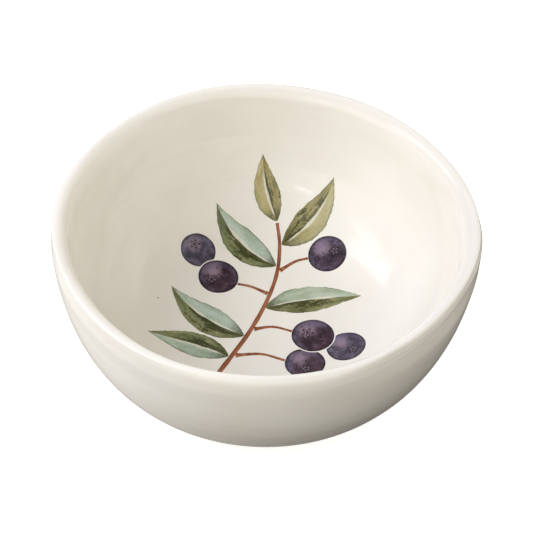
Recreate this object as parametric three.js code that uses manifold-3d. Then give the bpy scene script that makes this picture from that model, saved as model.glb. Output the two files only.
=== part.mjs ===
// Small round dipping bowl: a fired earthenware body, the glaze fused over it, the separate patch of
// glaze in the recess under the base, and a printed sprig fired onto the inside.
// Millimetres, +Z up. The origin is the centre of the foot ring, on the surface the bowl stands on.
import * as THREE from "three";
import { mergeVertices } from "three/addons/utils/BufferGeometryUtils.js";
import Module from "manifold-3d";

// ---------------------------------------------------------------- driving dimensions
const HEIGHT = 50.0; // foot to the top of the lip
const WALL_R = 60.0; // outside radius that the wall swells to, so 120 mm across
const WALL_Z = 47.2; // height where the curve of the outside turns upright
const BEVEL = 9.0; // degrees that the outside leans in under the lip
const BEVEL_Z = 45.0; // height where that bevel starts
const BEVEL_SOFT = 0.5; // how softly it starts
const CORNER_R = 1.2; // radius of the outer corner of the lip
const ROLL_R = 2.7; // radius of the broad roll to the inside of the lip
const ROLL_TIP = 20.0; // degrees from level where the roll meets the inside wall
const INSIDE_R = 55.0; // inside radius under the lip
const INSIDE_Z = 47.2; // height where the inside wall would turn upright
const BELLY_R = 33.8; // radius where the curve of the wall turns flat, under the bowl
const BELLY_Z = 2.2; // height of that flat turn above the table
const FLOOR_R = 14.0; // radius of the flat part of the inside floor
const FLOOR_Z = 6.8; // height of the inside floor
const INSIDE_POWER = 2.25; // squareness of the inside curve
const GLAZE_T = 0.4; // thickness of the fused glaze
const GLAZE_END_T = 0.22; // thickness of the glaze where it stops above the foot
const FOOT_OUT = 29.9; // outer radius of the flat, dry foot
const FOOT_IN = 27.1; // inner radius of the flat, dry foot
const RECESS_R = 24.8; // radius of the flat ceiling of the recess under the base
const RECESS_Z = 2.4; // height of the clay there
const SEGMENTS = 56; // facets round the bowl
const PRINT_GAP = 0.3; // print to true glaze surface, so that it clears the facets
const PRINT_T = 0.2; // thickness of the print as a solid
const KEYLINE = 0.35; // gap left between one printed motif and the one in front of it

const wasm = await Module();
wasm.setup();

// ---------------------------------------------------------------- the glazed surface, as a profile
const deg = (a) => (a * Math.PI) / 180;

// Outside wall: a quarter ellipse, leaning in above the bevel's lower edge.
function wallAt(z) {
  const sin = Math.max(0, Math.min(1, (WALL_Z - z) / (WALL_Z - BELLY_Z)));
  const lean = BEVEL_SOFT * Math.log1p(Math.exp((z - BEVEL_Z) / BEVEL_SOFT));
  return [BELLY_R + (WALL_R - BELLY_R) * Math.sqrt(1 - sin * sin) - Math.tan(deg(BEVEL)) * lean, z];
}
const outsideAt = (angle) => wallAt(WALL_Z - (WALL_Z - BELLY_Z) * Math.sin(angle));
// Lip: a tight corner outside and a broad roll inside, which meet level on the crest.
const CORNER_Z = HEIGHT - CORNER_R * (1 - Math.sin(deg(BEVEL)));
const CREST_R = wallAt(CORNER_Z)[0] - CORNER_R * Math.cos(deg(BEVEL));
const cornerAt = (angle) => [CREST_R + CORNER_R * Math.cos(angle), HEIGHT - CORNER_R * (1 - Math.sin(angle))];
const rollAt = (angle) => [CREST_R - ROLL_R * Math.cos(angle), HEIGHT - ROLL_R * (1 - Math.sin(angle))];
// Inside: a flat floor that turns up into a vertical wall.
function insideAt(angle) {
  const t = Math.sin(angle);
  const drop = (1 - t ** INSIDE_POWER) ** (1 / INSIDE_POWER);
  return [FLOOR_R + (INSIDE_R - FLOOR_R) * t, INSIDE_Z - (INSIDE_Z - FLOOR_Z) * drop];
}

// Listed from the glaze line above the foot, up the outside, over the lip and down to the floor's centre.
const GLAZE_LINE = [30.78, 1.3];
const surface = [GLAZE_LINE, [31.05, 1.62], [31.8, 1.95]];
for (const a of [80, 69, 58, 47, 36, 26, 17, 10, 6]) surface.push(outsideAt(deg(a)));
for (const z of [44.4, 45.4, 47]) surface.push(wallAt(z));
for (const a of [BEVEL, 35, 62]) surface.push(cornerAt(deg(a)));
for (const a of [90, 68, 45, ROLL_TIP]) surface.push(rollAt(deg(a)));
for (const a of [81.3, 75, 66, 57, 48, 39, 30, 20, 10, 0]) surface.push(insideAt(deg(a)));
surface.push([0, FLOOR_Z]);

// The clay lies one glaze thickness under it.
function buried(points, depthAt) {
  return points.map((p, i) => {
    const a = points[Math.max(0, i - 1)],
      b = points[Math.min(points.length - 1, i + 1)];
    const len = Math.hypot(b[0] - a[0], b[1] - a[1]);
    const n = p[0] === 0 ? [0, 1] : [(b[1] - a[1]) / len, -(b[0] - a[0]) / len];
    const d = depthAt(i);
    return [Math.max(0, p[0] - n[0] * d), p[1] - n[1] * d];
  });
}
const clay = buried(surface, (i) => (i === 0 ? GLAZE_END_T : i === 1 ? 0.33 : GLAZE_T));

// Turned pieces spin about the profile's own axis, then stand up on +Z.
function turned(profile) {
  const g = new THREE.LatheGeometry(
    profile.map(([r, z]) => new THREE.Vector2(r, z)),
    SEGMENTS,
  );
  g.deleteAttribute("normal");
  g.deleteAttribute("uv");
  return g;
}
const group = new THREE.Group();
const bowl = new THREE.Group();
bowl.rotation.x = Math.PI / 2;
group.add(bowl);

const material = (color, roughness) => new THREE.MeshStandardMaterial({ color, roughness, metalness: 0 });
const biscuit = material("#e2d2b6", 0.9);
const glaze = material("#efebdf", 0.14);

function add(parent, name, geometry, mat) {
  const mesh = new THREE.Mesh(geometry, mat);
  mesh.name = name;
  parent.add(mesh);
}

// Body of fired clay: recess, foot ring, wall, lip and floor in one pressing.
const underside = [
  [0, RECESS_Z],
  [RECESS_R, RECESS_Z],
  [RECESS_R + 0.5, RECESS_Z - 0.2],
  [RECESS_R + 1.0, RECESS_Z - 0.4],
  [FOOT_IN - 0.6, 0.6],
  [FOOT_IN, 0],
  [FOOT_OUT, 0],
  [FOOT_OUT + 0.5, 0.45],
];
add(bowl, "clay_body", turned([...underside, ...clay]), biscuit);

// Glaze over the inside, the lip and the outside, ending in a line above the foot.
add(bowl, "glaze_coat", turned([...clay.slice().reverse(), ...surface]), glaze);

// The dry foot cuts the glaze in the recess off from the rest, so it is a patch of its own.
add(
  bowl,
  "recess_glaze",
  turned([
    [0, RECESS_Z - GLAZE_T],
    [RECESS_R + 0.1, RECESS_Z - GLAZE_T],
    [RECESS_R + 0.5, RECESS_Z - 0.2],
    [RECESS_R, RECESS_Z],
    [0, RECESS_Z],
  ]),
  glaze,
);

// ---------------------------------------------------------------- the printed sprig
// Motifs are drawn flat, in millimetres measured over the glaze from the centre of the floor
// (x to the right, y to the back), and then laid on the inside of the bowl.
const rows = [[0, FLOOR_Z, 0]];
{
  const dense = [[FLOOR_R, FLOOR_Z]];
  for (let a = 0.25; a < 89; a += 0.25) dense.push(insideAt(deg(a)));
  let s = 0,
    last = rows[0];
  for (const p of dense) {
    s += Math.hypot(p[0] - last[0], p[1] - last[1]);
    last = [p[0], p[1]];
    rows.push([p[0], p[1], s]);
  }
}
function laid(x, y, lift) {
  const s = Math.hypot(x, y),
    turn = Math.atan2(y, x);
  let k = 1;
  while (k < rows.length - 1 && rows[k][2] < s) k++;
  const a = rows[k - 1],
    b = rows[k];
  const f = (s - a[2]) / (b[2] - a[2]);
  const len = Math.hypot(b[0] - a[0], b[1] - a[1]);
  const r = a[0] + (b[0] - a[0]) * f - ((b[1] - a[1]) / len) * lift;
  const z = a[1] + (b[1] - a[1]) * f + ((b[0] - a[0]) / len) * lift;
  return [r * Math.cos(turn), r * Math.sin(turn), z];
}
function bare(geometry) {
  geometry.deleteAttribute("normal");
  geometry.deleteAttribute("uv");
  return mergeVertices(geometry, 1e-5);
}
// flat gives the drawn point, and w in 0..1 that goes from the underside to the face of the print.
function wrapped(geometry, flat, low, high) {
  const g = bare(geometry);
  const p = g.getAttribute("position");
  for (let i = 0; i < p.count; i++) {
    const [x, y, w] = flat(p.getX(i), p.getY(i), p.getZ(i));
    p.setXYZ(i, ...laid(x, y, low + (high - low) * w));
  }
  return g;
}

// A strip along a centre line, with a half width that changes along it.
function strip(line, halfWidth, along, across, low, high) {
  const g = new THREE.BoxGeometry(1, 1, 1, along, across, 1);
  return wrapped(
    g,
    (u, v, w) => {
      const t = u + 0.5;
      const p = line.getPoint(t),
        d = line.getTangent(t);
      const h = halfWidth(t) * 2 * v;
      return [p.x - d.y * h, p.y + d.x * h, w + 0.5];
    },
    low,
    high,
  );
}
function leafLine({ base, tip, bend }) {
  const dx = tip[0] - base[0],
    dy = tip[1] - base[1],
    len = Math.hypot(dx, dy);
  return new THREE.QuadraticBezierCurve(
    new THREE.Vector2(...base),
    new THREE.Vector2((base[0] + tip[0]) / 2 - (dy / len) * bend, (base[1] + tip[1]) / 2 + (dx / len) * bend),
    new THREE.Vector2(...tip),
  );
}
const leafHalf = (w, grow) => (t) =>
  Math.max(0.16, w * Math.sin(Math.PI * t ** 0.82) ** 0.9 * (1 - 0.25 * t ** 3)) + grow;
const leafPrint = (leaf, low, high, grow = 0) => strip(leafLine(leaf), leafHalf(leaf.w, grow), 12, 2, low, high);

function berryPrint({ at, r }, low, high, grow = 0) {
  const R = r + grow;
  const g = new THREE.LatheGeometry(
    [
      [0, 0],
      [R * 0.5, 0],
      [R, 0],
      [R, 1],
      [R * 0.5, 1],
      [0, 1],
    ].map(([x, y]) => new THREE.Vector2(x, y)),
    22,
  );
  return wrapped(g, (x, y, z) => [at[0] + x, at[1] - z, y], low, high);
}
function stemPrint({ path, w }, low, high) {
  const line = new THREE.SplineCurve(path.map((p) => new THREE.Vector2(...p)));
  return strip(line, (t) => w * (1 - 0.35 * t), Math.max(4, 3 * (path.length - 1)), 1, low, high);
}

function solid(g) {
  const m = mergeVertices(new THREE.BufferGeometry().setAttribute("position", g.toNonIndexed().getAttribute("position")), 1e-4);
  const made = new wasm.Manifold(
    new wasm.Mesh({
      numProp: 3,
      vertProperties: new Float32Array(m.getAttribute("position").array),
      triVerts: new Uint32Array(m.index.array),
    }),
  );
  return made;
}
function geometryOf(s) {
  const m = s.getMesh();
  return new THREE.BufferGeometry()
    .setAttribute("position", new THREE.BufferAttribute(new Float32Array(m.vertProperties), 3))
    .setIndex(new THREE.BufferAttribute(new Uint32Array(m.triVerts), 1));
}

const LEAVES = [
  { base: [-9.9, -12.4], tip: [-33.5, -7.5], bend: -3.2, w: 4.9 },
  { base: [-5.5, -4.2], tip: [-27.5, 12.5], bend: 3.6, w: 5.3 },
  { base: [1.6, 6.8], tip: [29.5, 11.0], bend: 4.4, w: 5.2 },
  { base: [3.3, 24.0], tip: [-16.0, 43.0], bend: 4.4, w: 5.1 },
  { base: [5.6, 31.4], tip: [23.0, 51.5], bend: -4.2, w: 5.1 },
  { base: [3.5, 39.6], tip: [-1.8, 60.0], bend: 2.2, w: 4.3 },
  { base: [-13.6, -26.4], tip: [12.5, -30.5], bend: 3.4, w: 4.9 },
  { base: [-17.0, -28.0], tip: [-36.5, -24.0], bend: 2.6, w: 4.6 },
];
const BERRIES = [
  { at: [15.2, -3.4], r: 6.3 },
  { at: [25.0, -8.4], r: 5.8, behind: [0] },
  { at: [13.0, -14.6], r: 5.9, behind: [0] },
  { at: [-13.6, 18.4], r: 6.1 },
  { at: [-20.4, 26.9], r: 5.5, behind: [3] },
  { at: [19.4, 27.4], r: 6.0 },
];
const STEMS = [
  { path: [[-17, -30], [-9.4, -14.6], [-3.6, -3], [1, 9], [4, 21], [4.6, 31], [3.7, 38.4]], w: 0.75 },
  { path: [[-1.9, -1.6], [3.4, -0.5], [8.3, -1.8]], w: 0.55 },
  { path: [[-7.2, -12.2], [0.2, -11.4], [6.5, -13.3]], w: 0.55 },
  { path: [[1.3, 13.0], [-3.4, 15.4], [-7.0, 16.2]], w: 0.55 },
  { path: [[4.9, 22.2], [9.4, 25.4], [13.0, 26.4]], w: 0.55 },
];

const greens = ["#6d7550", "#7d8560", "#8c8a5c", "#66704c", "#7a8a68", "#8a9068", "#6a6f48", "#7f8a63"].map((c) => material(c, 0.16));
const plums = ["#38262f", "#4c3a48", "#3d2a36", "#35242d", "#514256", "#412f3b"].map((c) => material(c, 0.16));
const bark = material("#93573a", 0.16);
const LOW = PRINT_GAP,
  HIGH = PRINT_GAP + PRINT_T;

STEMS.forEach((stem, i) => add(group, i ? `print_twig_${i}` : "print_stem", stemPrint(stem, LOW, HIGH), bark));
LEAVES.forEach((leaf, i) => add(group, `print_leaf_${i + 1}`, leafPrint(leaf, LOW, HIGH), greens[i]));
BERRIES.forEach((berry, i) => {
  let g = berryPrint(berry, LOW, HIGH);
  if (berry.behind) {
    let s = solid(g);
    for (const k of berry.behind) s = s.subtract(solid(berryPrint(BERRIES[k], LOW - 1, HIGH + 1, KEYLINE)));
    g = geometryOf(s);
  }
  add(group, `print_berry_${i + 1}`, g, plums[i]);
});

export default group;
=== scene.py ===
import math

import bpy
import numpy as np
from mathutils import Matrix, Vector


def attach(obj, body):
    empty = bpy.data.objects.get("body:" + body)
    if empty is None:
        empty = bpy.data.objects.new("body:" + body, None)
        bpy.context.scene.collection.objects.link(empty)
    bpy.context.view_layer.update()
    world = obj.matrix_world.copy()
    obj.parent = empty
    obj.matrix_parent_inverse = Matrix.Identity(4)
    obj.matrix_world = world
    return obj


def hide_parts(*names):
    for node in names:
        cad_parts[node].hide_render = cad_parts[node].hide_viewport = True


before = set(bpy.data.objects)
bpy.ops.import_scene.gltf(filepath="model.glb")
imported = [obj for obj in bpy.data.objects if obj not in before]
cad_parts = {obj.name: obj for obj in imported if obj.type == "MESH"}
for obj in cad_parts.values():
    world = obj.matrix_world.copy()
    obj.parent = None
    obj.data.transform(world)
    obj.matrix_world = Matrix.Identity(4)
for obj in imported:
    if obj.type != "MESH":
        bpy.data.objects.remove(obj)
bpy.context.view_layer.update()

MM = 0.001
scene = bpy.context.scene

# ------------------------------------------------------------------ dimensions, in millimetres, as in the CAD
HEIGHT = 50.0
WALL_R, WALL_Z = 60.0, 47.2
BELLY_R, BELLY_Z = 33.8, 2.2
FLOOR_R, FLOOR_Z, INSIDE_POWER = 14.0, 6.8, 2.25
INSIDE_R, INSIDE_Z = 55.0, 47.2
GLAZE_T = 0.4
FOOT_OUT, FOOT_IN = 29.9, 27.1
RECESS_R, RECESS_Z = 24.8, 2.4
# the lip: a broad roll to the inside, a tighter corner to the outside and a bevel under the corner
ROLL_R, CORNER_R = 2.7, 1.2
BEVEL, BEVEL_Z = math.tan(math.radians(9)), 45.0
SEG = 288


def smooth(a, b, x):
    t = np.clip((np.asarray(x, float) - a) / (b - a), 0, 1)
    return t * t * (3 - 2 * t)


def soft_plus(x, w=0.5):
    return w * np.logaddexp(0, np.asarray(x, float) / w)


# ------------------------------------------------------------------ the glazed surface as one path
# The path runs from the centre of the floor up the inside, over the lip and down the outside to the
# line where the glaze stops above the foot.
def outer_wall(z):
    a = np.arcsin(np.clip((WALL_Z - np.asarray(z, float)) / (WALL_Z - BELLY_Z), 0, 1))
    return BELLY_R + (WALL_R - BELLY_R) * np.cos(a) - BEVEL * soft_plus(z - BEVEL_Z)


LEAN = math.atan(BEVEL)
CREST_R = float(outer_wall(HEIGHT - CORNER_R + CORNER_R * math.sin(LEAN))) - CORNER_R * math.cos(LEAN)


def cubic(p0, p1, p2, p3, n):
    p0, p1, p2, p3 = map(np.asarray, (p0, p1, p2, p3))
    t = np.linspace(0, 1, n)[1:, None]
    return [tuple(q) for q in (1 - t) ** 3 * p0 + 3 * t * (1 - t) ** 2 * p1 + 3 * t * t * (1 - t) * p2 + t**3 * p3]


def heading(pts):
    d = np.array(pts[-1]) - np.array(pts[-2])
    return d / np.linalg.norm(d)


def build_path():
    pts = [(r, FLOOR_Z) for r in np.linspace(0, FLOOR_R, 60)[:-1]]
    for a in np.linspace(0, math.radians(81.3), 1600)[:-1]:
        t = math.sin(a)
        drop = max(0.0, 1 - t**INSIDE_POWER) ** (1 / INSIDE_POWER)
        pts.append((FLOOR_R + (INSIDE_R - FLOOR_R) * t, INSIDE_Z - (INSIDE_Z - FLOOR_Z) * drop))
    # the top of the wall eases into the roll of the lip
    tip = math.radians(20)
    p0, d0 = np.array(pts[-1]), heading(pts)
    p3 = np.array([CREST_R - ROLL_R * math.cos(tip), HEIGHT - ROLL_R * (1 - math.sin(tip))])
    third = np.linalg.norm(p3 - p0) / 3
    pts += cubic(p0, p0 + d0 * third, p3 - np.array([math.sin(tip), math.cos(tip)]) * third, p3, 200)
    for a in np.linspace(tip, math.pi / 2, 200)[1:]:
        pts.append((CREST_R - ROLL_R * math.cos(a), HEIGHT - ROLL_R * (1 - math.sin(a))))
    for a in np.linspace(math.pi / 2, LEAN, 200)[1:]:
        pts.append((CREST_R + CORNER_R * math.cos(a), HEIGHT - CORNER_R * (1 - math.sin(a))))
    low = WALL_Z - (WALL_Z - BELLY_Z) * math.sin(math.radians(84))
    for z in np.linspace(pts[-1][1], low, 1600)[1:]:
        pts.append((float(outer_wall(z)), z))
    # hollow between the belly and the foot, a cubic that leaves the belly flat
    p0, d0, p3 = np.array(pts[-1]), heading(pts), np.array([30.78, 1.3])
    pts += cubic(p0, p0 + d0 * 2.2, p3 + np.array([0.12, 0.75]), p3, 120)
    # the molten glaze rounds every corner a little, and the inside of the lip the most
    p = np.array(pts)
    s = np.concatenate([[0], np.cumsum(np.hypot(*np.diff(p, axis=0).T))])
    step = 0.02
    u = np.arange(0, s[-1], step)
    q = np.stack([np.interp(u, s, p[:, 0]), np.interp(u, s, p[:, 1])], -1)

    def rounded(sigma):
        n = int(4 * sigma / step)
        k = np.exp(-0.5 * (np.arange(-n, n + 1) * step / sigma) ** 2)
        long = np.concatenate([2 * q[0] - q[n:0:-1], q, 2 * q[-1] - q[-2 : -n - 2 : -1]])
        return np.stack([np.convolve(long[:, i], k / k.sum(), "valid") for i in (0, 1)], -1)

    top = u[np.argmax(q[:, 1])]
    k = (smooth(top - 16, top - 9, u) * (1 - smooth(top - 3.2, top - 0.2, u)))[:, None]
    q = rounded(0.35) * (1 - k) + rounded(1.3) * k
    s = np.concatenate([[0], np.cumsum(np.hypot(*np.diff(q, axis=0).T))])
    # where the lip is worn, its outer corner is softer
    k = (smooth(top - 1.6, top + 1.0, u) * (1 - smooth(top + 5, top + 9, u)))[:, None]
    worn = q * (1 - k) + rounded(1.9) * k
    return q[:, 0], q[:, 1], s, worn[:, 0], worn[:, 1]


PR, PZ, PS, WORN_R, WORN_Z = build_path()
TR, TZ = np.gradient(PR, PS), np.gradient(PZ, PS)
_len = np.hypot(TR, TZ)
NR, NZ = -TZ / _len, TR / _len
CREST_S = float(PS[np.argmax(PZ)])
END_S = float(PS[-1])
LIP_IN_S = float(PS[np.argmax(PZ >= 47.2)])

# Uneven shaping, drying and firing, as slow waves round the bowl: how many, how far in millimetres, and the phase.
WAVES = ((1, 0.09, 5.91), (2, 0.15, 0.92), (3, 0.08, 5.66), (4, 0.20, 0.39), (5, 0.08, 4.15), (6, 0.15, 0.13))
DIPS = ((1, 0.04, 2.86), (2, 0.05, 0.81), (3, 0.06, 1.03), (4, 0.05, 5.87), (6, 0.03, 0.51), (9, 0.02, 2.2))
THICK_MEAN, THICK = -0.28, ((1, 0.34, 1.98), (2, 0.35, 5.24), (3, 0.07, 5.42), (4, 0.05, 1.63))


def waves(table, th):
    return sum(a * np.cos(k * th + p) for k, a, p in table)


def bevel_foot(th):
    """Height of the lower edge of the bevel under the lip, which sits lower on the left than on the right."""
    return BEVEL_Z + 2.4 * np.cos(th) + 0.25 * np.cos(3 * th + 1.1)


def turning(s, th):
    """Shallow turning lines left by the tool, in millimetres along the surface's normal."""
    inside = smooth(5, 18, s) * (1 - smooth(LIP_IN_S - 9, LIP_IN_S - 1, s))
    drift = 0.9 * np.sin(th + 0.4) + 0.5 * np.sin(2 * th + 2.2) + 0.3 * np.sin(3 * th + 5.0)
    swell = 0.55 + 0.45 * np.sin(s * 0.21 + 1.3 * np.sin(th + 1.0))
    lines = 0.010 * np.sin(2 * np.pi * s / 5.3 + drift) + 0.0045 * swell * np.sin(2 * np.pi * s / 2.6 + 1.7 * drift)
    outside = smooth(CREST_S + 8, CREST_S + 14, s) * (1 - smooth(END_S - 14, END_S - 4, s))
    out = 0.011 * np.sin(2 * np.pi * s / 6.4 + 0.8 * drift) + 0.004 * swell * np.sin(2 * np.pi * s / 2.9 - drift)
    return inside * lines + outside * out


def surface(s, th, lift=0.0):
    """Points of the glazed surface, in metres, lift millimetres above it."""
    s, th = np.broadcast_arrays(np.asarray(s, float), np.asarray(th, float))
    d = turning(s, th) + lift
    turn = np.degrees(th) % 360
    worn = smooth(224, 262, turn) * (1 - smooth(283, 308, turn))
    r0 = np.interp(s, PS, PR) * (1 - worn) + np.interp(s, PS, WORN_R) * worn
    z0 = np.interp(s, PS, PZ) * (1 - worn) + np.interp(s, PS, WORN_Z) * worn
    r = r0 + np.interp(s, PS, NR) * d
    z = z0 + np.interp(s, PS, NZ) * d
    # the bevel under the lip, deeper in front, with a soft groove below it on the left and two fine ridges on the right
    foot = bevel_foot(th)
    out = smooth(CREST_S - 1.5, CREST_S + 1.5, s)
    # on the left and the right the crest sits further out, with a flatter top at the far left; at the right of the front the wall is pushed in, under a small step
    port = smooth(160, 188, turn) * (1 - smooth(238, 264, turn))
    r = r + out * port * 0.08 * soft_plus(z0 - foot)
    proud = 0.55 * port * smooth(176, 198, turn) + 0.5 * smooth(0.5, 0.9, np.cos(th - math.radians(22)))
    r = r + proud * smooth(CREST_S - 4.2, CREST_S - 0.1, s) * (1 - smooth(CREST_S + 0.2, CREST_S + 1.9, s))
    flat = smooth(143, 162, turn) * (1 - smooth(184, 202, turn))
    r = r - 0.45 * flat * smooth(CREST_S - 4.6, CREST_S - 1.6, s) * (1 - smooth(CREST_S - 0.9, CREST_S + 0.8, s))
    cut = smooth(286, 312, turn) * (1 - smooth(328, 359.5, turn))
    r = r - out * cut * (0.85 * smooth(40.5, 47.5, z0) + 0.12 * smooth(48.2, 48.7, z0))
    # the wall swells a little under the lip, at the left of the front and at the far right
    r = r + out * 0.7 * np.exp(-(((turn - 228) / 22) ** 2)) * smooth(38, 46, z0)
    side = smooth(0.9, 0.97, np.cos(th - math.radians(3)))
    r = r + out * side * 0.25 * smooth(36, 44, z0) * (1 - smooth(47.6, 49, z0))
    r = r - out * BEVEL * (soft_plus(z0 - foot) - soft_plus(z0 - BEVEL_Z))
    front = np.maximum(0, np.cos(th - math.radians(262))) ** 2
    r = r - out * front * 0.06 * soft_plus(z0 - foot)
    left = np.maximum(0, np.cos(th - math.radians(205))) ** 2
    right = np.maximum(0, np.cos(th - math.radians(328))) ** 3
    r = r - out * left * 0.07 * np.exp(-(((z0 - foot + 1.1) / 1.6) ** 2))
    r = r + out * right * 0.08 * np.exp(-(((z0 - foot) / 0.45) ** 2))
    r = r + out * right * 0.04 * np.exp(-(((z0 - foot + 1.7) / 0.45) ** 2))
    # the lip is thicker at the back and at the right of the front
    inner = smooth(12, 40, z0) * (1 - smooth(CREST_S - 3.2, CREST_S + 0.3, s))
    r = r + inner * (THICK_MEAN + waves(THICK, th))
    r = r + smooth(8, 47, z) * waves(WAVES, th) * np.minimum(1, r / 20)
    z = z + smooth(26, 49, z) * waves(DIPS, th)
    return np.stack([r * np.cos(th), r * np.sin(th), z], -1) * MM


def spaced(bounds_and_steps):
    """Path lengths with a spacing of its own for each stretch."""
    out = [0.0]
    for end, step in bounds_and_steps:
        n = max(1, round((end - out[-1]) / step))
        out += list(np.linspace(out[-1], end, n + 1)[1:])
    return np.array(out)


# ------------------------------------------------------------------ mesh helpers
def signed_volume(v, tris):
    a, b, c = v[tris[:, 0]], v[tris[:, 1]], v[tris[:, 2]]
    return float(np.einsum("ij,ij->i", a, np.cross(b, c)).sum() / 6)


def make_object(name, verts, faces):
    verts = np.asarray(verts, float)
    tris = np.array([(f[0], f[i], f[i + 1]) for f in faces for i in range(1, len(f) - 1)])
    if signed_volume(verts - verts.mean(0), tris) < 0:
        faces = [tuple(reversed(f)) for f in faces]
    mesh = bpy.data.meshes.new(name)
    mesh.from_pydata(verts.tolist(), [], [tuple(int(i) for i in f) for f in faces])
    mesh.update()
    ob = bpy.data.objects.new(name, mesh)
    scene.collection.objects.link(ob)
    return ob


def shade(ob, angle=35.0):
    mesh = ob.data
    mesh.polygons.foreach_set("use_smooth", [True] * len(mesh.polygons))
    mesh.set_sharp_from_angle(angle=math.radians(angle))


def float_attr(ob, name, values):
    a = ob.data.attributes.new(name, "FLOAT", "POINT")
    a.data.foreach_set("value", np.asarray(values, np.float32))


def turned(name, rings):
    """rings is a list of (SEG, 3) arrays, with a (1, 3) array where the path meets the axis. It starts and ends on the axis."""
    verts, start = [], []
    for ring in rings:
        start.append(len(verts))
        verts += list(map(tuple, ring))
    faces = []
    for k in range(len(rings) - 1):
        a, b, na, nb = start[k], start[k + 1], len(rings[k]), len(rings[k + 1])
        for j in range(SEG):
            j2 = (j + 1) % SEG
            if na == 1:
                faces.append((a, b + j, b + j2))
            elif nb == 1:
                faces.append((a + j, b, a + j2))
            else:
                faces.append((a + j, b + j, b + j2, a + j2))
    return make_object(name, verts, faces), start


TH = np.arange(SEG) * 2 * math.pi / SEG


# ------------------------------------------------------------------ glaze, clay and the glaze in the recess
def hidden_depth(s):
    return GLAZE_T - (GLAZE_T - 0.22) * smooth(END_S - 1.6, END_S, s)


def build_glaze():
    steps = [(FLOOR_R, 1.2), (LIP_IN_S - 4, 0.74), (LIP_IN_S - 0.5, 0.3), (CREST_S - 0.4, 0.16), (CREST_S + 2.6, 0.125)]
    seen = spaced(steps + [(CREST_S + 10, 0.28), (END_S - 5, 0.86), (END_S, 0.24)])
    back = spaced([(FLOOR_R, 4.0), (LIP_IN_S - 2, 2.6), (CREST_S + 4, 0.6), (END_S - 5, 3.0), (END_S, 0.5)])[::-1]
    rings, path, side = [], [], []
    for s in seen:
        ring = surface(s, TH)
        rings.append(ring.mean(0, keepdims=True) if s == 0 else ring)
        path.append(s)
        side.append(0)
    for s in back:
        ring = surface(s, TH, -float(hidden_depth(s)))
        rings.append(ring.mean(0, keepdims=True) if s == 0 else ring)
        path.append(s)
        side.append(1)
    ob, start = turned("glaze_coat_fine", rings)
    count = [len(r) for r in rings]
    s_of = np.repeat(path, count)
    hid = np.repeat(side, count)
    # tones fitted to the photograph's brightness: painted light over the lip and under it at the left of the front,
    # painted shade over the lip behind, at the right of the front and low on the outside, the low ones standing in for
    # shade from the table
    co = np.zeros(len(ob.data.vertices) * 3, np.float32)
    ob.data.vertices.foreach_get("co", co)
    co = co.reshape(-1, 3)
    th = np.arctan2(co[:, 1], co[:, 0])
    roll = smooth(LIP_IN_S - 3.5, LIP_IN_S + 0.5, s_of) * (1 - smooth(CREST_S + 0.2, CREST_S + 2.2, s_of))
    turn = np.degrees(th) % 360
    upper = smooth(CREST_S + 3, CREST_S + 7, s_of) * (1 - smooth(END_S - 50, END_S - 35, s_of))
    pale = upper * smooth(218, 232, turn) * (1 - smooth(250, 266, turn))
    painted_roll_light = roll * (0.5 + 0.8 * smooth(0.3, 1, -np.sin(th)) + 0.6 * smooth(0.2, 0.9, np.cos(th)))
    # painted light: paler over the roll of the lip, most in front and at the right, and under the lip at the left of
    # the front
    float_attr(ob, "lip", painted_roll_light + 0.9 * pale)
    painted_back_shade = smooth(-0.2, 0.9, np.cos(th - math.radians(60))) * (1 - smooth(CREST_S - 1.7, CREST_S - 0.2, s_of))
    painted_flank_shade = upper * smooth(272, 292, turn) * (1 - smooth(318, 332, turn))
    # painted shade: duller over the lip behind, at the right of the front and low on the outside all round
    float_attr(ob, "body", roll * painted_back_shade + smooth(END_S - 40, END_S - 20, s_of) + 0.55 * painted_flank_shade)
    low = smooth(235, 285, turn) * (1 - smooth(310, 344, turn))
    # painted shade low on the outside at the front and right, standing in for shade from the table
    float_attr(ob, "low", low * smooth(END_S - 48, END_S - 28, s_of) * (hid == 0))
    float_attr(ob, "thin", 1.6 * smooth(END_S - 2.4, END_S - 0.2, s_of))
    # where the bands show, more on the left than on the right, and the outer corner of the lip, which is a little lumpy
    inner = smooth(30, 44, s_of) * (1 - smooth(LIP_IN_S - 5, LIP_IN_S - 1, s_of)) * (1 - 0.6 * smooth(-0.2, 0.7, np.cos(th - 0.2)))
    outer = smooth(CREST_S + 5, CREST_S + 9, s_of)
    float_attr(ob, "wall", 0.16 * inner + 0.08 * outer)
    float_attr(ob, "edge", np.exp(-(((s_of - CREST_S - 2.3) / 1.4) ** 2)))
    # where it pools: the turn of the floor
    float_attr(ob, "pool", np.exp(-(((s_of - 21) / 9) ** 2)) * (hid == 0))
    # a flat map: inside, outside and the two hidden faces as four round charts
    uv = ob.data.uv_layers.new(name="OFBake")
    loops = np.zeros(len(ob.data.loops), np.int32)
    ob.data.loops.foreach_get("vertex_index", loops)
    face_of = np.zeros(len(loops), np.int32)
    for i, p in enumerate(ob.data.polygons):
        face_of[p.loop_start : p.loop_start + p.loop_total] = i
    mean_s = np.bincount(face_of, s_of[loops]) / np.bincount(face_of)
    mean_h = np.bincount(face_of, hid[loops]) / np.bincount(face_of)
    outside = (mean_s > CREST_S)[face_of]
    hidden = (mean_h > 0.25)[face_of]
    s_l, th_l = s_of[loops], th[loops]
    rad = np.where(outside, (END_S - s_l + 30.8) / (END_S - CREST_S + 30.8), s_l / CREST_S)
    size = np.where(hidden, 0.105, 0.285)
    cx = np.where(hidden, np.where(outside, 0.885, 0.115), np.where(outside, 0.705, 0.295))
    cy = np.where(hidden, np.where(outside, 0.115, 0.885), np.where(outside, 0.705, 0.295))
    flat = np.stack([cx + size * rad * np.cos(th_l), cy + size * rad * np.sin(th_l)], -1)
    uv.data.foreach_set("uv", flat.astype(np.float32).ravel())
    shade(ob, 40)
    return ob


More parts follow.
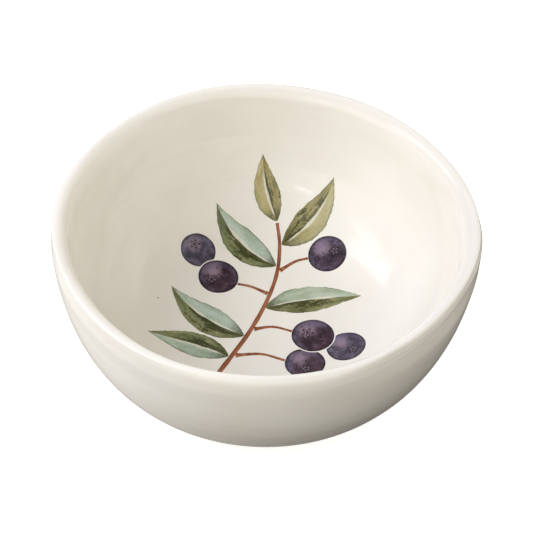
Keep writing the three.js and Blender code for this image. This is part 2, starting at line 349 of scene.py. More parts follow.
def arc(cx, cz, rad, a0, a1, n=6):
    return [(cx + rad * math.cos(a), cz + rad * math.sin(a)) for a in np.radians(np.linspace(a0, a1, n))]


def plain_ring(r, z):
    return np.stack([r * np.cos(TH), r * np.sin(TH), np.full(SEG, z)], -1) * MM


def build_clay():
    under = [(0.0, RECESS_Z)] + [(r, RECESS_Z) for r in np.linspace(3, RECESS_R - 0.6, 10)]
    under += [(RECESS_R, RECESS_Z - 0.02), (RECESS_R + 0.5, RECESS_Z - 0.2), (RECESS_R + 0.85, RECESS_Z - 0.48)]
    under += [(RECESS_R + 1.15, 1.4), (FOOT_IN - 0.85, 0.95)]
    under += arc(FOOT_IN, 0.75, 0.75, 192, 270, 9)
    under += [(r, 0.0) for r in np.linspace(FOOT_IN, FOOT_OUT, 9)[1:-1]]
    under += arc(FOOT_OUT, 0.62, 0.62, 270, 352, 9)
    rings = []
    for r, z in under:
        # the ring was fettled by hand, so its edges waver a little where they leave the flat
        w = 0.07 * np.sin(3 * TH + 1) + 0.05 * np.sin(7 * TH + 4) + 0.03 * np.sin(13 * TH)
        k = 0.0 if r == 0 else float(smooth(20, 26, r)) * float(smooth(0.02, 0.5, z) + 0.35)
        ring = plain_ring(r, z)
        ring[:, 0] += k * w * np.cos(TH) * MM
        ring[:, 1] += k * w * np.sin(TH) * MM
        rings.append(ring[:1] * 0 + np.array([0, 0, z * MM]) if r == 0 else ring)
    back = spaced([(FLOOR_R, 4.0), (LIP_IN_S - 2, 2.6), (CREST_S + 4, 0.6), (END_S - 5, 3.0), (END_S, 0.5)])[::-1]
    for s in back:
        ring = surface(s, TH, -float(hidden_depth(s)))
        rings.append(ring.mean(0, keepdims=True) if s == 0 else ring)
    ob, _ = turned("clay_body_fine", rings)
    shade(ob, 50)
    return ob


def build_recess():
    top = [(r, RECESS_Z) for r in np.linspace(RECESS_R - 0.4, 0, 8)]
    low = []
    for r in np.linspace(0, RECESS_R - 0.3, 46):
        edge = 0.10 * math.exp(-(((r - RECESS_R + 1.2) / 0.9) ** 2))
        low.append((r, RECESS_Z - GLAZE_T + 0.05 * math.cos(r * 1.45) * math.exp(-r / 16) - edge))
    low += arc(RECESS_R - 0.05, RECESS_Z - 0.22, 0.34, 250, 360, 7)
    rings = []
    for r, z in low + [(RECESS_R + 0.12, RECESS_Z - 0.06)] + top:
        w = 0.16 * np.sin(2 * TH + 0.5) + 0.10 * np.sin(5 * TH + 2) + 0.05 * np.sin(11 * TH + 1)
        k = float(smooth(RECESS_R - 4, RECESS_R, r)) * 0.6
        ring = plain_ring(r, z)
        ring[:, 0] += k * w * np.cos(TH) * MM
        ring[:, 1] += k * w * np.sin(TH) * MM
        rings.append(np.array([[0, 0, z * MM]]) if r == 0 else ring)
    ob, _ = turned("recess_glaze_fine", rings)
    for name in ("lip", "body", "low", "thin", "wall", "edge"):
        float_attr(ob, name, np.zeros(len(ob.data.vertices)))
    float_attr(ob, "pool", np.full(len(ob.data.vertices), 0.4))
    shade(ob, 45)
    return ob


# ------------------------------------------------------------------ the printed sprig
# Drawn flat in millimetres, measured over the glaze from the centre of the floor, then laid on it.
LEAVES = [
    dict(base=(-9.9, -12.4), tip=(-33.5, -7.5), bend=-3.2, w=4.9, tone=0.35, pale=1),
    dict(base=(-5.5, -4.2), tip=(-27.5, 12.5), bend=3.6, w=5.3, tone=0.15, pale=-1),
    dict(base=(1.6, 6.8), tip=(29.5, 11.0), bend=4.4, w=5.2, tone=0.55, pale=1),
    dict(base=(3.3, 24.0), tip=(-16.0, 43.0), bend=4.4, w=5.1, tone=0.25, pale=-1),
    dict(base=(5.6, 31.4), tip=(23.0, 51.5), bend=-4.2, w=5.1, tone=0.75, pale=-1),
    dict(base=(3.5, 39.6), tip=(-1.8, 60.0), bend=2.2, w=4.3, tone=0.9, pale=1),
    dict(base=(-13.6, -26.4), tip=(12.5, -30.5), bend=3.4, w=4.9, tone=0.4, pale=-1),
    dict(base=(-17.0, -28.0), tip=(-36.5, -24.0), bend=2.6, w=4.6, tone=0.65, pale=1),
]
BERRIES = [
    dict(at=(15.2, -3.4), r=6.3, crown=(-0.26, 0.18)),
    dict(at=(25.0, -8.4), r=5.8, behind=0, crown=(0.34, -0.22)),
    dict(at=(13.0, -14.6), r=5.9, behind=0, crown=(0.05, -0.36)),
    dict(at=(-13.6, 18.4), r=6.1, crown=(-0.32, -0.16)),
    dict(at=(-20.4, 26.9), r=5.5, behind=3, crown=(-0.22, 0.34)),
    dict(at=(19.4, 27.4), r=6.0, crown=(0.36, 0.14)),
]
STEMS = [
    dict(path=[(-17, -30), (-9.4, -14.6), (-3.6, -3), (1, 9), (4, 21), (4.6, 31), (3.7, 38.4)], w=0.75),
    dict(path=[(-1.9, -1.6), (3.4, -0.5), (8.3, -1.8)], w=0.55),
    dict(path=[(-7.2, -12.2), (0.2, -11.4), (6.5, -13.3)], w=0.55),
    dict(path=[(1.3, 13.0), (-3.4, 15.4), (-7.0, 16.2)], w=0.55),
    dict(path=[(4.9, 22.2), (9.4, 25.4), (13.0, 26.4)], w=0.55),
]
# how far the ink of the stem and of each stalk runs on past its ends, in millimetres
RUN_ON = ((0.0, 0.0), (0.25, 0.66), (0.08, 0.60), (0.15, 0.74), (0.05, 0.36))
FILM_LOW, FILM_HIGH = -0.012, 0.028


def ripple(t, seed, scale):
    """A repeatable wavering line, about -1 to 1."""
    rng = np.random.default_rng(seed)
    out = np.zeros_like(np.asarray(t, float))
    for k in range(1, 7):
        out = out + rng.normal() / k**0.6 * np.sin(2 * np.pi * k * scale * t + rng.uniform(0, 6.28))
    return out / 2.2


def film(name, xy, quads, rim, attrs):
    """A thin closed film over flat points xy, whose faces are quads and whose outline is the closed loop rim."""
    n = len(xy)
    s, th = np.hypot(xy[:, 0], xy[:, 1]), np.arctan2(xy[:, 1], xy[:, 0])
    verts = np.concatenate([surface(s, th, FILM_HIGH), surface(s, th, FILM_LOW)])
    faces = [tuple(q) for q in quads] + [tuple(n + i for i in reversed(q)) for q in quads]
    for a, b in zip(rim, rim[1:] + rim[:1]):
        faces.append((a, n + a, n + b, b))
    # the faces of the top run anticlockwise seen from inside the bowl, so the film needs no turning over
    mesh = bpy.data.meshes.new(name)
    mesh.from_pydata(verts.tolist(), [], [tuple(int(i) for i in f) for f in faces])
    mesh.update()
    ob = bpy.data.objects.new(name, mesh)
    scene.collection.objects.link(ob)
    for k, v in attrs.items():
        float_attr(ob, k, np.concatenate([v, v]))
    shade(ob, 30)
    return ob


def strip_film(name, line, tangent, left, right, ts, nv, extra):
    """A strip along a line, nv cells across, with a half width to the left and to the right at each step."""
    rows = []
    for i in range(len(ts)):
        nrm = np.array([-tangent[i][1], tangent[i][0]])
        for v in np.linspace(-1, 1, nv + 1):
            rows.append(np.array(line[i]) + nrm * (v * (left[i] if v > 0 else right[i])))
    xy = np.array(rows)
    m = nv + 1
    quads = [
        (i * m + j, (i + 1) * m + j, (i + 1) * m + j + 1, i * m + j + 1)
        for i in range(len(ts) - 1)
        for j in range(nv)
    ]
    last = (len(ts) - 1) * m
    rim = [i * m for i in range(len(ts))] + [last + j for j in range(1, m)]
    rim += [i * m + nv for i in range(len(ts) - 2, -1, -1)] + [j for j in range(nv - 1, 0, -1)]
    attrs = {"along": np.repeat(ts, m), "across": np.tile(np.linspace(-1, 1, m), len(ts))}
    attrs.update({k: np.full(len(xy), v) for k, v in extra.items()})
    return film(name, xy, quads, rim, attrs)


def build_leaf(i, leaf):
    b, t = np.array(leaf["base"]), np.array(leaf["tip"])
    # the stalk of the leaf runs on to the stem
    stem, _ = spline(STEMS[0]["path"], 400)
    off = stem - b
    far = np.hypot(off[:, 0], off[:, 1])
    k = int(np.argmin(far))
    b = b + off[k] / far[k] * max(0.0, far[k] - STEMS[0]["w"] * (1 - 0.35 * k / 399) - 0.12)
    d = t - b
    c = (b + t) / 2 + np.array([-d[1], d[0]]) / np.linalg.norm(d) * leaf["bend"]
    ts = np.linspace(0, 1, 109)
    line = np.outer((1 - ts) ** 2, b) + np.outer(2 * ts * (1 - ts), c) + np.outer(ts**2, t)
    tan = np.outer(2 * (1 - ts), c - b) + np.outer(2 * ts, t - c)
    tan /= np.linalg.norm(tan, axis=1)[:, None]
    half = leaf["w"] * np.sin(np.pi * ts**0.82) ** 0.9 * (1 - 0.25 * ts**3)
    stalk = 0.1 + 0.2 * smooth(0, 0.03, ts) * (1 - smooth(0.1, 0.5, ts))
    rough = np.minimum(half, 1.0) * 0.11
    left = np.maximum(stalk, half * (1 + 0.035 * ripple(ts, 11 + i, 1.7)) + rough * ripple(ts, 111 + i, 4.3))
    right = np.maximum(stalk, half * (0.97 + 0.035 * ripple(ts, 31 + i, 1.5)) + rough * ripple(ts, 131 + i, 4.7))
    extra = {"tone": leaf["tone"], "pale": leaf["pale"], "seed": 3.7 * i + 1.0}
    return strip_film(f"print_leaf_{i + 1}_ink", line, tan, left, right, ts, 18, extra)


def spline(path, n):
    """Points and tangents of a Catmull-Rom curve through a path."""
    p = np.array(path, float)
    p = np.concatenate([[2 * p[0] - p[1]], p, [2 * p[-1] - p[-2]]])
    out = []
    for u in np.linspace(0, len(path) - 1, n):
        k = min(int(u), len(path) - 2)
        f = u - k
        a, b, c, d = p[k : k + 4]
        out.append(0.5 * (2 * b + (c - a) * f + (2 * a - 5 * b + 4 * c - d) * f**2 + (3 * b - a - 3 * c + d) * f**3))
    out = np.array(out)
    tan = np.gradient(out, axis=0)
    return out, tan / np.linalg.norm(tan, axis=1)[:, None]


def build_stem(i, stem):
    n = 20 * (len(stem["path"]) - 1) + 1
    ts = np.linspace(0, 1, n)
    path = np.array(stem["path"], float)
    for end, inner, more in ((0, 1, RUN_ON[i][0]), (-1, -2, RUN_ON[i][1])):
        way = path[end] - path[inner]
        path[end] = path[end] + way / np.hypot(*way) * more
    line, tan = spline(path, n)
    half = stem["w"] * (1 - 0.35 * ts) * (1 + 0.10 * ripple(ts, 70 + i, 2.0 + 2.0 * (i == 0)))
    # a stalk widens where it leaves the stem and where it meets its berry
    if i:
        half = half * (1 + 0.7 * np.exp(-ts / 0.08) + 0.45 * np.exp(-(1 - ts) / 0.06))
    name = f"print_twig_{i}_ink" if i else "print_stem_ink"
    return strip_film(name, line, tan, half, half, ts, 4, {"seed": 5.1 * i + 2.0})


def build_berry(i, berry):
    at, R = np.array(berry["at"]), berry["r"]
    nr, na = 20, 84
    ph = np.arange(na) * 2 * math.pi / na
    out = R * (1 + 0.012 * ripple(ph / (2 * math.pi), 50 + i, 1.0))
    if "behind" in berry:
        front = BERRIES[berry["behind"]]
        gap = front["r"] + 0.35
        o = at - np.array(front["at"])
        dirs = np.stack([np.cos(ph), np.sin(ph)], -1)
        bq = dirs @ o
        disc = bq**2 - (o @ o - gap**2)
        near = np.where(disc > 0, -bq - np.sqrt(np.maximum(disc, 0)), 1e9)
        out = np.minimum(out, np.where(near > 0, near, 1e9))
    rho = np.linspace(0, 1, nr + 1)[1:] ** 0.85
    xy = [at]
    for q in rho:
        xy += list(at + (q * out)[:, None] * np.stack([np.cos(ph), np.sin(ph)], -1))
    xy = np.array(xy)
    quads = [(0, 1 + j, 1 + (j + 1) % na) for j in range(na)]
    for k in range(nr - 1):
        a, b = 1 + k * na, 1 + (k + 1) * na
        quads += [(a + j, b + j, b + (j + 1) % na, a + (j + 1) % na) for j in range(na)]
    rim = [1 + (nr - 1) * na + j for j in range(na)]
    rel = (xy - at) / R
    cx, cy = berry["crown"]
    attrs = {
        "bx": rel[:, 0],
        "by": rel[:, 1],
        "cx": rel[:, 0] - cx,
        "cy": rel[:, 1] - cy,
        "seed": np.full(len(xy), 4.3 * i + 0.5),
        "tone": np.full(len(xy), (0.0, 0.7, 0.25, 0.1, 0.85, 0.4)[i]),
    }
    return film(f"print_berry_{i + 1}_ink", xy, quads, rim, attrs)


# ------------------------------------------------------------------ materials
def srgb(code):
    c = [int(code[i : i + 2], 16) / 255 for i in (1, 3, 5)]
    return tuple((x / 12.92 if x <= 0.04045 else ((x + 0.055) / 1.055) ** 2.4) for x in c) + (1.0,)


class Mat:
    """A node material being written."""

    def __init__(self, name):
        self.m = bpy.data.materials.new(name)
        self.m.use_nodes = True
        self.t = self.m.node_tree
        self.t.nodes.clear()
        self.out = self.t.nodes.new("ShaderNodeOutputMaterial")
        self.b = self.t.nodes.new("ShaderNodeBsdfPrincipled")
        self.t.links.new(self.b.outputs[0], self.out.inputs[0])

    def put(self, socket, value):
        if isinstance(value, bpy.types.NodeSocket):
            self.t.links.new(value, socket)
        else:
            socket.default_value = value

    def new(self, kind, out=0, props=None, **inputs):
        n = self.t.nodes.new(kind)
        for k, v in (props or {}).items():
            setattr(n, k, v)
        for k, v in inputs.items():
            self.put(n.inputs[int(k[1:])] if k[0] == "i" and k[1:].isdigit() else n.inputs[k], v)
        return n.outputs[out]

    def attr(self, name):
        return self.new("ShaderNodeAttribute", "Fac", {"attribute_name": name})

    def where(self):
        return self.new("ShaderNodeTexCoord", "Object")

    def noise(self, vector, scale, detail=3.0, rough=0.55, distort=0.0, out="Fac"):
        return self.new("ShaderNodeTexNoise", out, Vector=vector, Scale=scale, Detail=detail, Roughness=rough, Distortion=distort)

    def math(self, op, a, b=0.0, c=0.0):
        return self.new("ShaderNodeMath", 0, {"operation": op}, i0=a, i1=b, i2=c)

    def step(self, x, lo, hi, a=0.0, b=1.0):
        return self.new("ShaderNodeMapRange", 0, {"interpolation_type": "SMOOTHSTEP"}, i0=x, i1=lo, i2=hi, i3=a, i4=b)

    def mix(self, fac, a, b, blend="MIX"):
        n = self.t.nodes.new("ShaderNodeMix")
        n.data_type, n.blend_type = "RGBA", blend
        self.put(n.inputs[0], fac)
        self.put(n.inputs[6], a)
        self.put(n.inputs[7], b)
        return n.outputs[2]

    def ramp(self, fac, stops, interp="LINEAR"):
        n = self.t.nodes.new("ShaderNodeValToRGB")
        r = n.color_ramp
        r.interpolation = interp
        while len(r.elements) < len(stops):
            r.elements.new(0.5)
        for e, (p, c) in zip(r.elements, stops):
            e.position, e.color = p, srgb(c) if isinstance(c, str) else c
        self.put(n.inputs[0], fac)
        return n.outputs[0]

    def xyz(self, x, y, z):
        return self.new("ShaderNodeCombineXYZ", 0, i0=x, i1=y, i2=z)

    def bump(self, height, strength, distance):
        return self.new("ShaderNodeBump", 0, Strength=strength, Distance=distance, Height=height)


GLOSS = 0.11
SPECKS = ((32.1, 167.6, 0.33), (103.0, 62.0, 0.28), (118.5, 118.0, 0.36), (129.0, 84.0, 0.22))


def glaze_colour(m, p):
    """Warm cream with a slow mottle, painted light over the lip in front, painted shade over it behind and low on the
    outside, most of all in front, warmer at the foot line and cooler where it pools."""
    slow = m.noise(p, 26.0, 2.0, 0.5, 0.3)
    col = m.ramp(slow, [(0.30, "#f2ede3"), (0.52, "#f5f1e8"), (0.72, "#f6f3ea")])
    cloud = m.noise(p, 150.0, 4.0, 0.6)
    col = m.mix(m.step(cloud, 0.35, 0.75, 0.0, 0.35), col, srgb("#f3efe7"))
    # faint warm bands round the wall, where the glaze was laid on in turns
    x, y, z = (m.new("ShaderNodeSeparateXYZ", i, i0=p) for i in range(3))
    turns = m.xyz(m.math("MULTIPLY", x, 38.0), m.math("MULTIPLY", y, 38.0), m.math("MULTIPLY", z, 520.0))
    bands = m.noise(turns, 1.0, 3.0, 0.6, 0.5)
    col = m.mix(m.math("MULTIPLY", m.step(bands, 0.50, 0.72), m.attr("wall")), col, srgb("#e7d8c8"))
    # painted light over the lip and under it at the left of the front
    col = m.mix(m.math("MULTIPLY", m.attr("lip"), 0.7), col, srgb("#fdfaf4"))
    # painted shade behind the lip, at the right of the front and low on the outside
    col = m.mix(m.math("MULTIPLY", m.attr("body"), 0.5), col, srgb("#e2dccf"))
    # painted shade low in front, standing in for shade from the table
    col = m.mix(m.math("MULTIPLY", m.attr("low"), 0.62), col, srgb("#cbc4b6"))
    col = m.mix(m.math("MULTIPLY", m.attr("thin"), 0.22), col, srgb("#eee3cb"))
    col = m.mix(m.math("MULTIPLY", m.attr("pool"), 0.18), col, srgb("#eeece2"))
    return col


def glaze_finish(m, p, ripple_strength=0.05, lumps=False):
    rough = m.noise(p, 60.0, 3.0)
    m.put(m.b.inputs["Roughness"], m.step(rough, 0.25, 0.8, GLOSS - 0.025, GLOSS + 0.045))
    h = m.math("ADD", m.math("MULTIPLY", m.noise(p, 70.0, 2.0), 0.8), m.math("MULTIPLY", m.noise(p, 420.0, 2.0), 0.12))
    if lumps:
        h = m.math("ADD", h, m.math("MULTIPLY", m.attr("edge"), m.math("MULTIPLY", m.noise(p, 430.0, 2.0, 0.6), 0.45)))
    m.put(m.b.inputs["Normal"], m.bump(h, ripple_strength, 0.004))
    m.b.inputs["IOR"].default_value = 1.52


def glaze_material():
    m = Mat("cream_glaze")
    p = m.where()
    col = glaze_colour(m, p)
    # a few iron specks from the kiln, each at a path length and an angle, with a radius in millimetres
    for at, turn, size in SPECKS:
        spot = tuple(float(c) for c in surface(at, math.radians(turn)))
        away = m.new("ShaderNodeVectorMath", "Value", {"operation": "DISTANCE"}, i0=p, i1=spot)
        col = m.mix(m.step(away, 0.45 * size * MM, size * MM, 0.85, 0.0), col, srgb("#4d4038"))
    m.put(m.b.inputs["Base Color"], col)
    glaze_finish(m, p, lumps=True)
    return m.m


def clay_material():
    m = Mat("bare_earthenware")
    p = m.where()
    grit = m.noise(p, 1500.0, 5.0, 0.7)
    cloud = m.noise(p, 90.0, 3.0)
    col = m.ramp(cloud, [(0.3, "#d9c6a8"), (0.55, "#e2d2b7"), (0.8, "#e9dcc6")])
    col = m.mix(m.step(grit, 0.62, 0.72, 0.0, 0.6), col, srgb("#b79b78"))
    col = m.mix(m.step(grit, 0.28, 0.38, 0.5, 0.0), col, srgb("#f2e8d6"))
    # rubbed a little grey where it touches the table
    rub = m.noise(p, 260.0, 3.0)
    z = m.new("ShaderNodeSeparateXYZ", 2, i0=p)
    low = m.step(z, 0.00002, 0.0004, 1.0, 0.0)
    col = m.mix(m.math("MULTIPLY", low, m.step(rub, 0.4, 0.7, 0.0, 0.35)), col, srgb("#b9ac99"))
    m.put(m.b.inputs["Base Color"], col)
    m.put(m.b.inputs["Roughness"], m.step(cloud, 0.2, 0.8, 0.78, 0.95))
    # rings left by the fettling tool, and the grit itself
    x, y = m.new("ShaderNodeSeparateXYZ", 0, i0=p), m.new("ShaderNodeSeparateXYZ", 1, i0=p)
    rad = m.math("SQRT", m.math("ADD", m.math("MULTIPLY", x, x), m.math("MULTIPLY", y, y)))
    tool = m.math("SINE", m.math("MULTIPLY", rad, 2 * math.pi / 0.00062))
    h = m.math("ADD", m.math("MULTIPLY", grit, 0.7), m.math("MULTIPLY", tool, 0.12))
    m.put(m.b.inputs["Normal"], m.bump(h, 0.5, 0.0002))
    return m.m


def ink(m, col, p):
    m.put(m.b.inputs["Base Color"], col)
    glaze_finish(m, p)


def leaf_material():
    """Watercolour leaf: a dark half and a pale half either side of an unpainted rib, with pigment settled in the grain."""
    m = Mat("leaf_ink")
    p = m.where()
    u, v, tone, pale, seed = (m.attr(k) for k in ("along", "across", "tone", "pale", "seed"))
    # strokes run along the leaf, the wash lies in broad patches, and the tooth of the paper breaks both up
    stroke = m.noise(m.xyz(m.math("MULTIPLY", u, 4.0), m.math("MULTIPLY", v, 3.2), seed), 1.0, 5.0, 0.62, 0.7)
    wash = m.noise(m.xyz(m.math("MULTIPLY", u, 3.2), m.math("MULTIPLY", v, 1.3), m.math("ADD", seed, 40.0)), 1.0, 3.0, 0.55, 0.4)
    tooth = m.noise(p, 880.0, 4.0, 0.72)
    grain = m.noise(p, 2300.0, 3.0, 0.7)
    av = m.math("ABSOLUTE", v)
    side = m.math("ADD", m.math("MULTIPLY", v, pale), m.math("MULTIPLY", m.math("SUBTRACT", stroke, 0.5), 0.22))
    # dark half: green or olive, with deep blotches along the rib
    green = m.ramp(wash, [(0.30, "#5d6540"), (0.48, "#7a8159"), (0.62, "#8f9268"), (0.76, "#a7a37a")])
    olive = m.ramp(wash, [(0.30, "#736d3f"), (0.48, "#978d57"), (0.62, "#ada26e"), (0.76, "#c0b588")])
    dark = m.mix(m.step(tone, 0.40, 0.90), green, olive)
    near = m.math("MULTIPLY", m.math("SUBTRACT", 1.0, av), 0.30)
    along = m.math("MULTIPLY", m.math("ABSOLUTE", m.math("SUBTRACT", u, 0.38)), -0.55)
    blot = m.math("ADD", m.math("MULTIPLY", stroke, 0.95), m.math("MULTIPLY", tooth, 0.65))
    blot = m.math("ADD", blot, m.math("ADD", near, along))
    deep = m.ramp(tooth, [(0.36, "#26260f"), (0.52, "#3d3e1f"), (0.68, "#57582f")])
    dark = m.mix(m.step(blot, 0.80, 0.96, 0.0, 0.92), dark, deep)
    # pale half: a thin sea green or straw wash, deeper at the outline and at the base
    sea = m.ramp(wash, [(0.30, "#9fb199"), (0.46, "#b4c4b3"), (0.62, "#c4d1c3"), (0.78, "#d0d9cb")])
    straw = m.ramp(wash, [(0.30, "#a19356"), (0.46, "#b8aa74"), (0.62, "#c6bb8d"), (0.78, "#d3caa5")])
    soft = m.mix(m.step(tone, 0.45, 0.85), sea, straw)
    rim = m.math("ADD", av, m.math("MULTIPLY", m.math("SUBTRACT", stroke, 0.5), 0.9))
    soft = m.mix(m.step(rim, 0.55, 1.15, 0.0, 0.6), soft, srgb("#7f8c62"))
    soft = m.mix(m.step(tooth, 0.56, 0.74, 0.0, 0.5), soft, srgb("#76825a"))
    col = m.mix(m.step(side, -0.03, 0.03), dark, soft)
    # the base and the very tip are drawn darker
    low = m.math("ADD", u, m.math("MULTIPLY", m.math("SUBTRACT", tooth, 0.5), 0.35))
    col = m.mix(m.step(low, 0.02, 0.26, 0.8, 0.0), col, srgb("#4b4b27"))
    col = m.mix(m.step(low, 0.86, 1.02, 0.0, 0.6), col, srgb("#6d663a"))
    # a thin line where the wash dried at the outline, broken here and there
    dried = m.math("MULTIPLY", m.step(av, 0.90, 0.97), m.step(stroke, 0.40, 0.60, 0.05, 0.6))
    col = m.mix(dried, col, srgb("#4a4f2d"))
    # the rib is left unpainted: it swells in the middle and dies away before the tip
    wide = m.math("ADD", 0.012, m.math("MULTIPLY", m.step(wash, 0.30, 0.70), 0.085))
    rib = m.step(m.math("SUBTRACT", m.math("ABSOLUTE", m.math("SUBTRACT", side, 0.03)), wide), 0.0, 0.045, 1.0, 0.0)
    rib = m.math("MULTIPLY", m.math("MULTIPLY", rib, m.step(u, 0.60, 0.84, 0.88, 0.0)), m.step(u, 0.05, 0.16))
    col = m.mix(rib, col, srgb("#e4e1cd"))
    # grains of pigment, and small spots that the brush missed
    col = m.mix(m.step(grain, 0.58, 0.72, 0.0, 0.5), col, srgb("#383a1d"))
    col = m.mix(m.step(grain, 0.27, 0.38, 0.5, 0.0), col, srgb("#dad9c4"))
    ink(m, col, p)
    return m.m


def berry_material():
    """Dark plum wash with a dusty bloom, a lilac light and a small five-pointed crown."""
    m = Mat("berry_ink")
    p = m.where()
    bx, by, cx, cy, seed, tone = (m.attr(k) for k in ("bx", "by", "cx", "cy", "seed", "tone"))
    rad = m.math("SQRT", m.math("ADD", m.math("MULTIPLY", bx, bx), m.math("MULTIPLY", by, by)))
    q = m.xyz(bx, by, seed)
    wash = m.noise(q, 1.7, 4.0, 0.6, 0.5)
    grain = m.noise(p, 2100.0, 3.0, 0.7)
    grain2 = m.noise(p, 800.0, 4.0, 0.7)
    col = m.ramp(wash, [(0.28, "#23161c"), (0.46, "#392731"), (0.60, "#4e3946"), (0.78, "#6a5364")])
    blue = m.ramp(wash, [(0.28, "#2e2833"), (0.46, "#4a4658"), (0.62, "#696679"), (0.80, "#8d8a9c")])
    col = m.mix(m.step(tone, 0.2, 0.9, 0.0, 0.85), col, blue)
    # light from the upper left, broken up by the grain of the paper
    dx, dy = m.math("ADD", bx, 0.30), m.math("SUBTRACT", by, 0.36)
    light = m.math("SQRT", m.math("ADD", m.math("MULTIPLY", dx, dx), m.math("MULTIPLY", dy, dy)))
    light = m.math("ADD", light, m.math("MULTIPLY", m.math("SUBTRACT", grain2, 0.5), 0.9))
    col = m.mix(m.step(light, 0.10, 0.62, 0.75, 0.0), col, srgb("#a08a9c"))
    # cooler light along the lower right edge
    ex, ey = m.math("SUBTRACT", bx, 0.18), m.math("ADD", by, 0.22)
    low = m.math("SQRT", m.math("ADD", m.math("MULTIPLY", ex, ex), m.math("MULTIPLY", ey, ey)))
    low = m.math("MULTIPLY", m.step(low, 0.62, 0.98), m.step(wash, 0.35, 0.65, 0.15, 0.55))
    col = m.mix(low, col, srgb("#7c7590"))
    # dark outline where the wash dried
    col = m.mix(m.step(rad, 0.84, 0.97, 0.0, 0.65), col, srgb("#20141b"))
    # the crown
    cr = m.math("SQRT", m.math("ADD", m.math("MULTIPLY", cx, cx), m.math("MULTIPLY", cy, cy)))
    an = m.math("ARCTAN2", cy, cx)
    star = m.math("ADD", 0.20, m.math("MULTIPLY", m.math("COSINE", m.math("ADD", m.math("MULTIPLY", an, 5.0), seed)), 0.075))
    gap = m.math("SUBTRACT", cr, star)
    line = m.step(m.math("ABSOLUTE", m.math("ADD", gap, 0.02)), 0.025, 0.065, 0.85, 0.0)
    col = m.mix(m.step(gap, -0.05, 0.0, 0.55, 0.0), col, srgb("#8b7787"))
    col = m.mix(m.step(cr, 0.05, 0.10, 0.9, 0.0), col, srgb("#1d1218"))
    col = m.mix(line, col, srgb("#190f15"))
    # bloom and pigment grain
    col = m.mix(m.step(grain, 0.57, 0.74, 0.0, 0.38), col, srgb("#b3a4b4"))
    col = m.mix(m.step(grain2, 0.30, 0.42, 0.45, 0.0), col, srgb("#1f141b"))
    ink(m, col, p)
    return m.m


def stem_material():
    m = Mat("stem_ink")
    p = m.where()
    u, v, seed = (m.attr(k) for k in ("along", "across", "seed"))
    wash = m.noise(m.xyz(m.math("MULTIPLY", u, 9.0), m.math("MULTIPLY", v, 0.6), seed), 1.0, 4.0, 0.6)
    grain = m.noise(p, 2200.0, 3.0, 0.7)
    col = m.ramp(wash, [(0.28, "#6f3d28"), (0.46, "#93573a"), (0.60, "#ab6c49"), (0.78, "#c38d66")])
    col = m.mix(m.step(v, 0.1, 0.9, 0.0, 0.5), col, srgb("#5e3524"))
    col = m.mix(m.step(grain, 0.58, 0.74, 0.0, 0.5), col, srgb("#5a3423"))
    col = m.mix(m.step(grain, 0.26, 0.40, 0.4, 0.0), col, srgb("#d5a884"))
    ink(m, col, p)
    return m.m


# ------------------------------------------------------------------ put the object together
def finish_piece(ob, mat, node):
    ob.data.materials.append(mat)
    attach(ob, "root")
    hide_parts(node)


GLAZE = glaze_material()
finish_piece(build_glaze(), GLAZE, "glaze_coat")
finish_piece(build_clay(), clay_material(), "clay_body")
finish_piece(build_recess(), GLAZE, "recess_glaze")

LEAF, BERRY, STEM = leaf_material(), berry_material(), stem_material()
for i, stem in enumerate(STEMS):
    finish_piece(build_stem(i, stem), STEM, f"print_twig_{i}" if i else "print_stem")
for i, leaf in enumerate(LEAVES):
    finish_piece(build_leaf(i, leaf), LEAF, f"print_leaf_{i + 1}")
for i, berry in enumerate(BERRIES):
    finish_piece(build_berry(i, berry), BERRY, f"print_berry_{i + 1}")


# ------------------------------------------------------------------ floor, lights and camera
def build_floor():
    n = 96
    verts = [(0, 0, -0.00004)] + [(2.6 * math.cos(a), 2.6 * math.sin(a), -0.00004) for a in np.arange(n) * 2 * math.pi / n]
    mesh = bpy.data.meshes.new("floor")
    mesh.from_pydata(verts, [], [(0, 1 + i, 1 + (i + 1) % n) for i in range(n)])
    mesh.update()
    ob = bpy.data.objects.new("floor", mesh)
    scene.collection.objects.link(ob)
    mat = bpy.data.materials.new("pale_floor")
    mat.use_nodes = True
    t = mat.node_tree
    b = t.nodes["Principled BSDF"]
    b.inputs["Base Color"].default_value = (0.92, 0.92, 0.92, 1)
    b.inputs["Roughness"].default_value = 0.9
    b.inputs["Specular IOR Level"].default_value = 0.0
    b.inputs["Emission Color"].default_value = (1, 1, 1, 1)
    b.inputs["Emission Strength"].default_value = 0.62
    # from below the floor is clear, so that the foot can be seen
    clear = t.nodes.new("ShaderNodeBsdfTransparent")
    mix = t.nodes.new("ShaderNodeMixShader")
    geo = t.nodes.new("ShaderNodeNewGeometry")
    t.links.new(geo.outputs["Backfacing"], mix.inputs[0])
    t.links.new(b.outputs[0], mix.inputs[1])
    t.links.new(clear.outputs[0], mix.inputs[2])
    t.links.new(mix.outputs[0], t.nodes["Material Output"].inputs[0])
    mesh.materials.append(mat)
    ob.visible_diffuse = ob.visible_glossy = ob.visible_transmission = ob.visible_shadow = False
    return ob


build_floor()

AIM = Vector((0, 0, 0.028))


